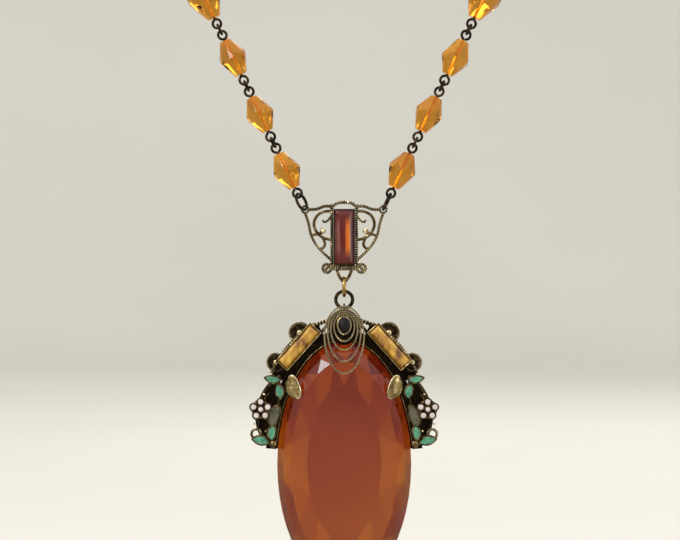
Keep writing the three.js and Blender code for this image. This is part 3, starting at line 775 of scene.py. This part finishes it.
def make_connector():
    plain, twisted = connector_half()
    frame_plain = Shape()
    frame_twisted = Shape()
    for _, side in SIDES:
        frame_plain.join(*[form.moved(mirror(side)) for form in plain])
        frame_twisted.join(*[form.moved(mirror(side)) for form in twisted])
    frame_plain.join(
        wire(flat([(-1.8, -14.3), (-1.1, -16.0), (0, -17.2), (1.1, -16.0), (1.8, -14.3)]), 0.38),
    )
    frame_twisted.join(
        rope(flat([(-TRIM_X, 0.7), (-1.4, 1.6), (1.4, 1.6), (TRIM_X, 0.7)]), 0.5),
        rope(flat([(-3.4, -13.45), (0, -13.5), (3.4, -13.45)]), 0.5),
        rope(flat([(-3.4, -14.1), (0, -14.15), (3.4, -14.1)]), 0.5),
    )
    make("connector_wires", frame_plain, ANTIQUE_BRASS, "connector", ["connector_frame"])
    make("connector_twisted_wires", frame_twisted, TWISTED_BRASS, "connector",
         ["connector_frame"])
    middle = (SETTING["top"] + SETTING["bottom"]) / 2
    height = SETTING["top"] - SETTING["bottom"]
    box = walled_box(SETTING["width"], height, SETTING["front"], SETTING["back"], SETTING["wall"])
    make("connector_box", box.moved(shift(z=middle)), DARK_BRASS, "connector",
         ["connector_setting"])
    stone_width = SETTING["width"] - 2 * SETTING["wall"] - 0.16
    stone = step_cut(stone_width, height - 2 * SETTING["wall"] - 0.16, -2.1, SETTING["front"], 0.4, 1.0)
    make("connector_glass", stone.moved(shift(z=middle)), DARK_RED, "connector",
         ["connector_stone"], sharp=15)


def walled_box(width, height, front, back, wall, floor=0.3):
    """A shallow box, open at the front, with its edges rounded over."""
    outer = boxed(width, height, front, back)
    inner = boxed(width - 2 * wall, height - 2 * wall, front - 1, back - floor)
    cut = subtract(to_object("box_outer", outer), to_object("box_inner", inner))
    bm = bmesh.new()
    points = [bm.verts.new(p) for p in cut.points]
    for face in cut.faces:
        bm.faces.new([points[i] for i in face])
    bmesh.ops.dissolve_limit(bm, angle_limit=0.02, verts=bm.verts, edges=bm.edges)
    bmesh.ops.bevel(bm, geom=list(bm.edges), offset=wall * 0.3, segments=2, affect="EDGES",
                    clamp_overlap=True)
    return from_bmesh(bm)


def boxed(width, height, front, back):
    bm = bmesh.new()
    bmesh.ops.create_cube(bm, size=1)
    shape = from_bmesh(bm)
    return shape.moved(shift(y=(front + back) / 2) @ Matrix.Diagonal((width, back - front, height, 1)))


def step_cut(width, height, table, girdle, base, inset):
    """A long stone with two crown steps round its table."""
    points = []
    steps = (
        (table, inset),
        (table + (girdle - table) * 0.55, inset * 0.42),
        (girdle, 0.0),
        (girdle + (base - girdle) * 0.45, 0.0),
        (base, inset * 1.1),
    )
    for y, back_off in steps:
        for x in (-1, 1):
            for z in (-1, 1):
                points.append((x * (width / 2 - back_off), y, z * (height / 2 - back_off)))
    return cut_stone(points, edge=0.04, dissolve=0.5)


# ---------------------------------------- carrying rings

def make_carrying_rings():
    for node, body, size, turned, finish, slot in (
        ("jump_ring", "jump_link", JUMP_RING, 90, BRIGHT_BRASS, "bright_brass"),
        ("bail_ring", "bail_link", BAIL_RING, 0, DARK_BRASS, "dark_brass"),
    ):
        z = (box_middle(node).z - ORIGIN[2]) / MM
        ring = split_ring(size["radius"], size["wire"]).moved(shift(z=z) @ turn(turned, "Z"))
        make(f"bent_{node}", ring, finish, body, [node])


# ---------------------------------------- pendant

def outline(degrees, offset, y=0.0):
    """A point at an angle from +X round the stone, moved outwards from its edge."""
    angle = math.radians(degrees)
    normal = np.array([math.cos(angle) / STONE_HALF_WIDTH, math.sin(angle) / STONE_HALF_HEIGHT])
    normal /= np.linalg.norm(normal)
    return (STONE_HALF_WIDTH * math.cos(angle) + normal[0] * offset, y,
            STONE_CENTRE_Z + STONE_HALF_HEIGHT * math.sin(angle) + normal[1] * offset)


def round_stone(offset, start, end, steps, y=0.0):
    return [outline(start + (end - start) * i / steps, offset, y) for i in range(steps + 1)]


def strip(offset, start, end, half_width, front, back, steps=48, ease=0.12):
    """A flat band that follows the stone's edge, with its edges broken."""
    path = smooth_path(round_stone(offset, start, end, steps), 0.5)
    section = np.array([
        (-half_width + ease, front), (half_width - ease, front), (half_width, front + ease),
        (half_width, back - ease), (half_width - ease, back), (-half_width + ease, back),
        (-half_width, back - ease), (-half_width, front + ease),
    ])
    return sweep(path, np.tile(section, (len(path), 1, 1)))


def stone_row(level, count, offset=0.0):
    """Corners round the stone at one level, turned by a share of a facet."""
    points = []
    for i in range(count):
        angle = 2 * math.pi * (i + offset) / count
        points.append((level["half_width"] * math.cos(angle), level["y"],
                       STONE_CENTRE_Z + level["half_height"] * math.sin(angle)))
    return points


def make_pendant_stone():
    girdle = {"half_width": STONE_HALF_WIDTH - GIRDLE_INSET, "half_height": STONE_HALF_HEIGHT - GIRDLE_INSET}
    points = (
        stone_row({**girdle, "y": -GIRDLE_HALF}, 48)
        + stone_row({**girdle, "y": GIRDLE_HALF}, 48)
        + stone_row(CROWN, 24, 0.5)
        + stone_row(TABLE, 24)
        + stone_row(PAVILION, 16, 0.5)
        + stone_row(REAR, 16)
    )
    stone = make("oval_glass", cut_stone(points, edge=0.05, dissolve=0.6), STONE_GLASS, "pendant",
                 ["pendant_stone"], sharp=4)
    # The painted light play of each facet, stored as a tone on the stone's faces.
    facets = stone.data.attributes.new("facet", "FLOAT", "FACE")
    facets.data.foreach_set("value", [facet_light_play(face.normal) for face in stone.data.polygons])


def facet_light_play(normal):
    """Painted light play: how amber a facet is painted, in place of the light its cut would bend and
    reflect. The table and the rear face are reddest, the flanks vary in turn, and facets facing upwards are
    redder.
    """
    if normal.y < -0.98:
        return 0.36
    if normal.y > 0.98:
        return 0.16
    turned = math.atan2(normal.z, normal.x)
    if normal.y > 0.2:
        return 0.5 + 0.3 * math.cos(8 * turned) - 0.35 * max(normal.z, 0)
    return 0.26 + 0.28 * math.cos(12 * turned + 0.4) - 0.2 * max(normal.z, 0)


def make_cap():
    dark = Shape().join(
        strip(1.5, 7.3, 172.7, 1.25, -1.15, 1.0, 72).worn_and_lit(0.12),
        strip(0.05, 7.3, 172.7, 0.65, 0.84, 1.0, 72, ease=0.04).worn_and_lit(0.05),
        boxed(1.3, 5.6, -0.3, 0.7).moved(shift(z=-27.4)),
    )
    milled = Shape().join(rope(round_stone(5.5, 58, 122, 24, 0.2), 0.62, pitch=1.5))
    eye_top = (box_middle("bail_ring").z - ORIGIN[2]) / MM - BAIL_RING["radius"] + BAIL_RING["wire"]
    eye_z = eye_top + HANGING_EYE["wire"] + HANGING_EYE["play"] - HANGING_EYE["radius"]
    eye = split_ring(HANGING_EYE["radius"], HANGING_EYE["wire"]).moved(shift(z=eye_z) @ turn(90, "Z"))
    for _, side in SIDES:
        middle = 90 - side * 32
        dark.join(strip(3.5, middle - 18, middle + 18, 2.1, 0.15, 1.0, 24).worn_and_lit(0.12))
        milled.join(rope(round_stone(5.9, middle - 17, middle + 17, 24, 0.2), 0.45, pitch=1.3))
        for x, z, radius in ((10.6, -29.4, 2.4), (16.3, -36.4, 2.0)):
            lobe = dome(disc(side * x, z, radius), 1.0, 0.4, 0.35)
            dark.join(lobe)
            milled.join(rope(arc(side * x, z, radius, y=0.35)[:-1], 0.36, closed=True, pitch=0.9))
            milled.join(ball(side * x, 0.1, z, radius * 0.32, 0.6))
        dark.join(wire(flat([(side * 3.2, -26.6), (side * 5.4, -29.2), (side * 7.6, -32.2)], 0.4), 0.4))
    bright = wire(round_stone(0.32, 9, 171, 60, -1.2), 0.1, spacing=0.4).worn_and_lit(0.3)
    make("cap_band", dark, DARK_BRASS, "pendant", ["cap_frame"])
    make("cap_milled_edges", milled, TWISTED_BRASS, "pendant", ["cap_frame"])
    make("cap_bright_edge", bright, CLAW_BRASS, "pendant", ["cap_frame"])
    make("cap_hanging_eye", eye, DARK_BRASS, "pendant", ["cap_frame"])


MEDALLION_TILT = 11.5
MEDALLION_TOP = (0, -1.75, -22.8)
MEDALLION_OVALS = (
    (1.85, -2.48, -7.2), (2.7, -1.88, -8.9), (3.45, -1.26, -11.0), (4.17, -0.63, -13.7), (4.9, 0.0, -16.6),
)
MEDALLION_WIRE = 0.26


def egg(half_width, top, bottom, inset=0.0, steps=32):
    """An oval, a little narrower below, between a top and a bottom."""
    half_height = (top - bottom) / 2 - inset
    pairs = []
    for i in range(steps):
        angle = 2 * math.pi * i / steps
        narrowing = 1 + 0.1 * math.sin(angle)
        pairs.append(((half_width - inset) * math.cos(angle) * narrowing,
                      (top + bottom) / 2 + half_height * math.sin(angle)))
    return pairs


def make_medallion():
    at = shift(*MEDALLION_TOP) @ turn(-MEDALLION_TILT, "X")
    ropes = Shape()
    for half_width, top, bottom in MEDALLION_OVALS:
        ropes.join(rope(flat(egg(half_width, top, bottom, MEDALLION_WIRE)), MEDALLION_WIRE, closed=True))
    plate = dome(egg(3.9, -0.9, -9.4), 0.75, 0.5, 0.02).worn_and_lit(0.02)
    stone = dome(egg(1.25, -2.95, -6.35), 0.35, -0.1, 0.5, levels=7)
    make("medallion_ropes", ropes.moved(at), TWISTED_BRASS, "pendant",
         ["filigree_medallion"])
    make("medallion_backing", plate.moved(at), DARK_BRASS, "pendant", ["filigree_medallion"])
    make("medallion_cabochon", stone.moved(at), BLACK_GLASS, "pendant", ["medallion_stone"])


BAGUETTE = {"length": 11.3, "width": 2.9, "wall": 0.35, "gap": 0.08, "x": 10.8, "z": -32.6, "turn": 48}


def make_baguettes():
    length, width = BAGUETTE["length"], BAGUETTE["width"]
    extra = 2 * (BAGUETTE["wall"] + BAGUETTE["gap"])
    box = walled_box(length + extra, width + extra, -2.4, -0.2, BAGUETTE["wall"], 0.35)
    rim_x, rim_z = length / 2 + 0.3, width / 2 + 0.3
    corners = [(-rim_x, rim_z), (rim_x, rim_z), (rim_x, -rim_z), (-rim_x, -rim_z)]
    rim = Shape()
    for start, end in zip(corners, corners[1:] + corners[:1]):
        rim.join(wire([(start[0], -2.42, start[1]), (end[0], -2.42, end[1])], 0.12, spacing=0.5))
    stone = step_cut(length, width, -2.9, -2.3, -0.75, 0.6)
    for name, side in SIDES:
        at = shift(side * BAGUETTE["x"], 0, BAGUETTE["z"]) @ turn(side * BAGUETTE["turn"], "Y")
        make(f"baguette_box_{name}", box.moved(at), DARK_BRASS, "pendant",
             [f"baguette_setting_{name}"])
        make(f"baguette_rim_{name}", rim.moved(at), CLAW_BRASS, "pendant",
             [f"baguette_setting_{name}"])
        make(f"baguette_glass_{name}", stone.moved(at), YELLOW_FOIL, "pendant",
             [f"baguette_stone_{name}"], sharp=15)


def make_claws():
    """A three-lobed petal over the stone's edge on each side."""
    pairs = []
    for i in range(60):
        angle = 2 * math.pi * i / 60
        lobes = 1 + 0.09 * math.cos(3 * angle + 0.6)
        pairs.append((2.0 * math.cos(angle) * lobes, 2.9 * math.sin(angle) * lobes))
    petal = dome(pairs, 0.3, 0.0, 0.55, levels=8)
    for name, side in SIDES:
        at = shift(side * 12.1, -2.6, -42.3) @ turn(side * 14, "Y") @ turn(side * 24, "Z") @ mirror(side)
        make(f"petal_claw_{name}", petal.moved(at), CLAW_BRASS, "pendant",
             [f"stone_claw_{name}"])


FLOWER = {"x": 19.8, "y": -2.4, "z": -47.4, "ring": 1.78, "dot": 0.63, "cell": 0.98}


def make_flowers():
    cells = Shape().join(dome(disc(0, 0, 2.2), 0.0, -0.3, 0.05, levels=3))
    dots = Shape()
    places = [(0, 0, 0.54)]
    for i in range(5):
        angle = math.radians(90 + 72 * i)
        places.append((FLOWER["ring"] * math.cos(angle), FLOWER["ring"] * math.sin(angle), FLOWER["dot"]))
    for x, z, radius in places:
        edge = radius + FLOWER["cell"] - FLOWER["dot"]
        cells.join(dome(disc(x, z, edge), 0.0, -0.4, 0.02, levels=2))
        cells.join(wire(arc(x, z, edge - 0.1, y=-0.45)[:-1], 0.13, closed=True, sides=10))
        dots.join(dome(disc(x, z, radius), -0.3, -0.5, 0.22))
    for name, side in SIDES:
        at = shift(side * FLOWER["x"], FLOWER["y"], FLOWER["z"]) @ mirror(side)
        make(f"flower_cells_{name}", cells.moved(at), DARK_BRASS, "pendant", [f"flower_{name}"])
        make(f"flower_dots_{name}", dots.moved(at), WHITE_ENAMEL, "pendant",
             [f"flower_{name}"])


# Leaves of a sprig on the side of +X: middle x and z, length, width, lean, bend and whether it is green.
LEAVES = (
    (17.0, -40.4, 3.4, 1.4, 8, 0.2, True),
    (15.3, -43.2, 3.1, 1.7, 78, -0.2, True),
    (16.8, -49.0, 5.4, 2.4, 108, 0.5, False),
    (19.8, -54.8, 3.7, 1.8, 14, -0.2, True),
    (17.2, -53.0, 3.3, 1.7, 98, 0.2, True),
)


def make_sprigs():
    metal = Shape()
    bright = Shape()
    green = Shape()
    olive = Shape()
    metal.join(
        dome([(15.2, -40.2), (17.4, -40.6), (19.4, -44.4), (20.4, -49.4), (19.2, -54.6), (16.8, -54.8),
              (16.0, -50.6), (15.6, -46.0)][::-1], -1.2, -1.5, 0.02, levels=2).worn_and_lit(0.08),
        wire(flat([(15.2, -39.6), (17.6, -41.6), (19.4, -44.4), (20.6, -48.0), (20.2, -52.0),
                   (18.6, -55.0), (17.0, -55.6)], -1.5), 0.55),
        wire(flat([(15.6, -41.0), (15.5, -44.5), (16.0, -48.8), (16.6, -52.0), (16.9, -55.0)], -1.5), 0.5),
        dome(disc(FLOWER["x"], FLOWER["z"], 2.3), -1.4, -2.1, 0.1, levels=3),
        ball(16.8, -1.8, -55.7, 0.95, 0.7),
    )
    for x, z, length, width, lean, bend, is_green in LEAVES:
        metal.join(dome(leaf(x, z, length + 1.0, width + 0.8, lean, bend=bend), -1.4, -1.95, 0.05, levels=2))
        edge = [(px, -2.05, pz) for px, pz in leaf(x, z, length + 0.5, width + 0.4, lean, bend=bend)]
        bright.join(wire(edge, 0.15, closed=True, sides=10, spacing=0.18))
        fill = dome(leaf(x, z, length, width, lean, bend=bend), -1.8, -2.1, 0.16)
        (green if is_green else olive).join(fill)
    bright.join(
        rope(arc(20.9, -53.3, 1.1, y=-1.8)[:-1], 0.42, closed=True, pitch=0.9),
        wire(flat([(17.9, -43.6), (18.9, -45.1), (18.4, -46.0)], -2.2), 0.16),
        ball(19.0, -2.2, -43.9, 0.34),
        ball(18.6, -2.2, -52.6, 0.3),
        ball(21.4, -2.0, -50.9, 0.3),
    )
    for name, side in SIDES:
        for part, shape, finish, slot in (
            ("metal", metal, DARK_BRASS, "dark_brass"),
            ("edges", bright, ANTIQUE_BRASS, "antique_brass"),
            ("leaves", green, GREEN_ENAMEL, "green_enamel"),
            ("olive", olive, OLIVE_ENAMEL, "green_enamel"),
        ):
            make(f"sprig_{part}_{name}", shape.moved(mirror(side)), finish, "pendant",
                 [f"sprig_{name}"])


# ---------------------------------------- clasp

CLASP = {"radius": 2.9, "tube": 0.76, "x": -1.05}


def make_clasp():
    """The spring ring and its two rings; these lie about the row's own origin."""
    nape = shift(0, NAPE_DEPTH, NAPE_RISE)
    radius, tube = CLASP["radius"], CLASP["tube"]
    body = to_object("case_body", wire(arc(0, 0, radius, 75, 380, 60), tube, sides=24, spacing=0.25))
    hollow = to_object("case_hollow", wire(arc(0, 0, radius, 69, 262, 40), 0.47, sides=16, spacing=0.25))
    slot_line = arc(0, 0, radius + 0.65, 79, 147, 24)
    section = np.array([(-0.6, -0.3), (0.6, -0.3), (0.6, 0.3), (-0.6, 0.3)])
    slot_path = smooth_path(slot_line, 0.3)
    slot = to_object("case_slot", sweep(slot_path, np.tile(section, (len(slot_path), 1, 1))))
    hollowed = to_object("case_hollowed", subtract(body, hollow))
    case = subtract(hollowed, slot)
    case.join(split_ring(1.0, 0.34).moved(shift(x=-radius - tube - 0.95)))
    trigger = Shape().join(
        wire(arc(0, 0, radius, 23, 150, 40), 0.33, spacing=0.2),
        wire([(0, 0, radius), (0, 0, radius + 1.2)], 0.2).moved(turn(4, "Y")),
        ball(0, 0, 0, 0.3).moved(turn(4, "Y") @ shift(z=radius + 1.15)),
    )
    at = nape @ shift(x=CLASP["x"])
    make("clasp_case", case.moved(at), BRIGHT_BRASS, "neck_chain", ["spring_ring_case"])
    make("clasp_trigger_bar", trigger.moved(at), BRIGHT_BRASS, "clasp_trigger",
         ["spring_ring_trigger"])
    for node, radius, thick, turned in (("clasp_end_ring", 1.9, 0.38, 90), ("clasp_tag", 1.5, 0.34, 0)):
        x = box_middle(node).x / MM
        ring = split_ring(radius, thick).moved(nape @ shift(x=x) @ turn(turned, "X"))
        make(f"bent_{node}", ring, BRIGHT_BRASS, "neck_chain", [node])
    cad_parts["spring_ring_spring"].data.materials.clear()
    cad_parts["spring_ring_spring"].data.materials.append(SPRING_STEEL)


# ---------------------------------------- stage, light and camera

def make_stage():
    """A pale floor that curves up into a plain wall behind."""
    floor_z = cad_low.z - 0.03
    wall_y = ORIGIN[1] + 2.2
    curve = 0.6
    profile = [(ORIGIN[1] - 3.0, floor_z)]
    for i in range(17):
        angle = math.pi / 2 * i / 16
        profile.append((wall_y - curve + curve * math.sin(angle), floor_z + curve - curve * math.cos(angle)))
    profile.append((wall_y, floor_z + 4.0))
    data = bpy.data.meshes.new("studio")
    points = [(x, y, z) for y, z in profile for x in (-4.0, 4.0)]
    faces = [(2 * i, 2 * i + 1, 2 * i + 3, 2 * i + 2) for i in range(len(profile) - 1)]
    data.from_pydata(points, [], faces)
    data.polygons.foreach_set("use_smooth", [True] * len(data.polygons))
    finish = Finish("studio_paint")
    finish.set(Roughness=0.9)
    finish.feed("Base Color", finish.ramp(finish.noise(3.0), [(0.3, rgb("e1dfd7")), (0.7, rgb("e6e4dd"))]))
    data.materials.append(finish.material)
    new_object("studio", data)


def area_light(name, place, aim, size, power, colour):
    data = bpy.data.lights.new(name, "AREA")
    data.size = size
    data.energy = power
    data.color = colour
    light = new_object(name, data)
    light.location = place
    light.rotation_euler = (aim - place).to_track_quat("-Z", "Y").to_euler()


def make_lights():
    aim = Vector(ORIGIN) + Vector((0, 0, -0.03))
    area_light("key", aim + Vector((-0.6, -0.7, 0.7)), aim, 0.35, 6.0, (1.0, 0.99, 0.97))
    area_light("fill", aim + Vector((0.8, -0.6, 0.15)), aim, 0.4, 1.6, (0.94, 0.97, 1.0))
    area_light("back", aim + Vector((0.3, 0.8, 0.7)), aim, 0.5, 3.0, (1.0, 0.98, 0.95))
    world = bpy.data.worlds.new("studio_air")
    world.use_nodes = True
    fill_air(world.node_tree)
    bpy.context.scene.world = world


def fill_air(tree):
    """Pale air all round; mirror reflections, on metal or glass, see a room dark below, bright above."""
    air = tree.nodes["Background"]
    air.inputs["Strength"].default_value = 1.0
    ray = tree.nodes.new("ShaderNodeLightPath")
    way = tree.nodes.new("ShaderNodeTexCoord")
    axes = tree.nodes.new("ShaderNodeSeparateXYZ")
    room = tree.nodes.new("ShaderNodeValToRGB")
    pick = tree.nodes.new("ShaderNodeMix")
    pick.data_type = "RGBA"
    low, high = room.color_ramp.elements
    low.position, low.color = 0.35, (0.06, 0.055, 0.05, 1.0)
    high.position, high.color = 0.8, (1.5, 1.48, 1.42, 1.0)
    rise = tree.nodes.new("ShaderNodeMapRange")
    rise.inputs["From Min"].default_value = -1.0
    tree.links.new(way.outputs["Generated"], axes.inputs[0])
    tree.links.new(axes.outputs["Z"], rise.inputs["Value"])
    tree.links.new(rise.outputs[0], room.inputs["Fac"])
    mirrored = tree.nodes.new("ShaderNodeMath")
    mirrored.operation = "SUBTRACT"
    mirrored.use_clamp = True
    tree.links.new(ray.outputs["Is Glossy Ray"], mirrored.inputs[0])
    tree.links.new(ray.outputs["Transmission Depth"], mirrored.inputs[1])
    tree.links.new(mirrored.outputs[0], pick.inputs["Factor"])
    colours = [socket for socket in pick.inputs if socket.type == "RGBA"]
    colours[0].default_value = rgb("eae9e6")
    tree.links.new(room.outputs["Color"], colours[1])
    shown = [socket for socket in pick.outputs if socket.type == "RGBA"][0]
    tree.links.new(shown, air.inputs["Color"])


def set_tone():
    """Plain tone mapping, so that the glass keeps its colour."""
    bpy.context.scene.view_settings.view_transform = "Standard"


def make_camera():
    """Level with the connector's lower rim and square to the necklace's front."""
    data = bpy.data.cameras.new("camera")
    data.lens = CAMERA["lens"]
    data.sensor_width = CAMERA["sensor"]
    data.clip_start = 0.01
    camera = new_object("camera", data)
    camera.location = Vector(ORIGIN) + Vector(CAMERA["from_corner_level"])
    camera.rotation_euler = (math.pi / 2, 0, 0)
    bpy.context.scene.camera = camera


set_tone()
make_camera()
make_stage()
make_lights()
make_strands()
make_connector()
make_carrying_rings()
make_pendant_stone()
make_cap()
make_medallion()
make_baguettes()
make_claws()
make_flowers()
make_sprigs()
make_clasp()
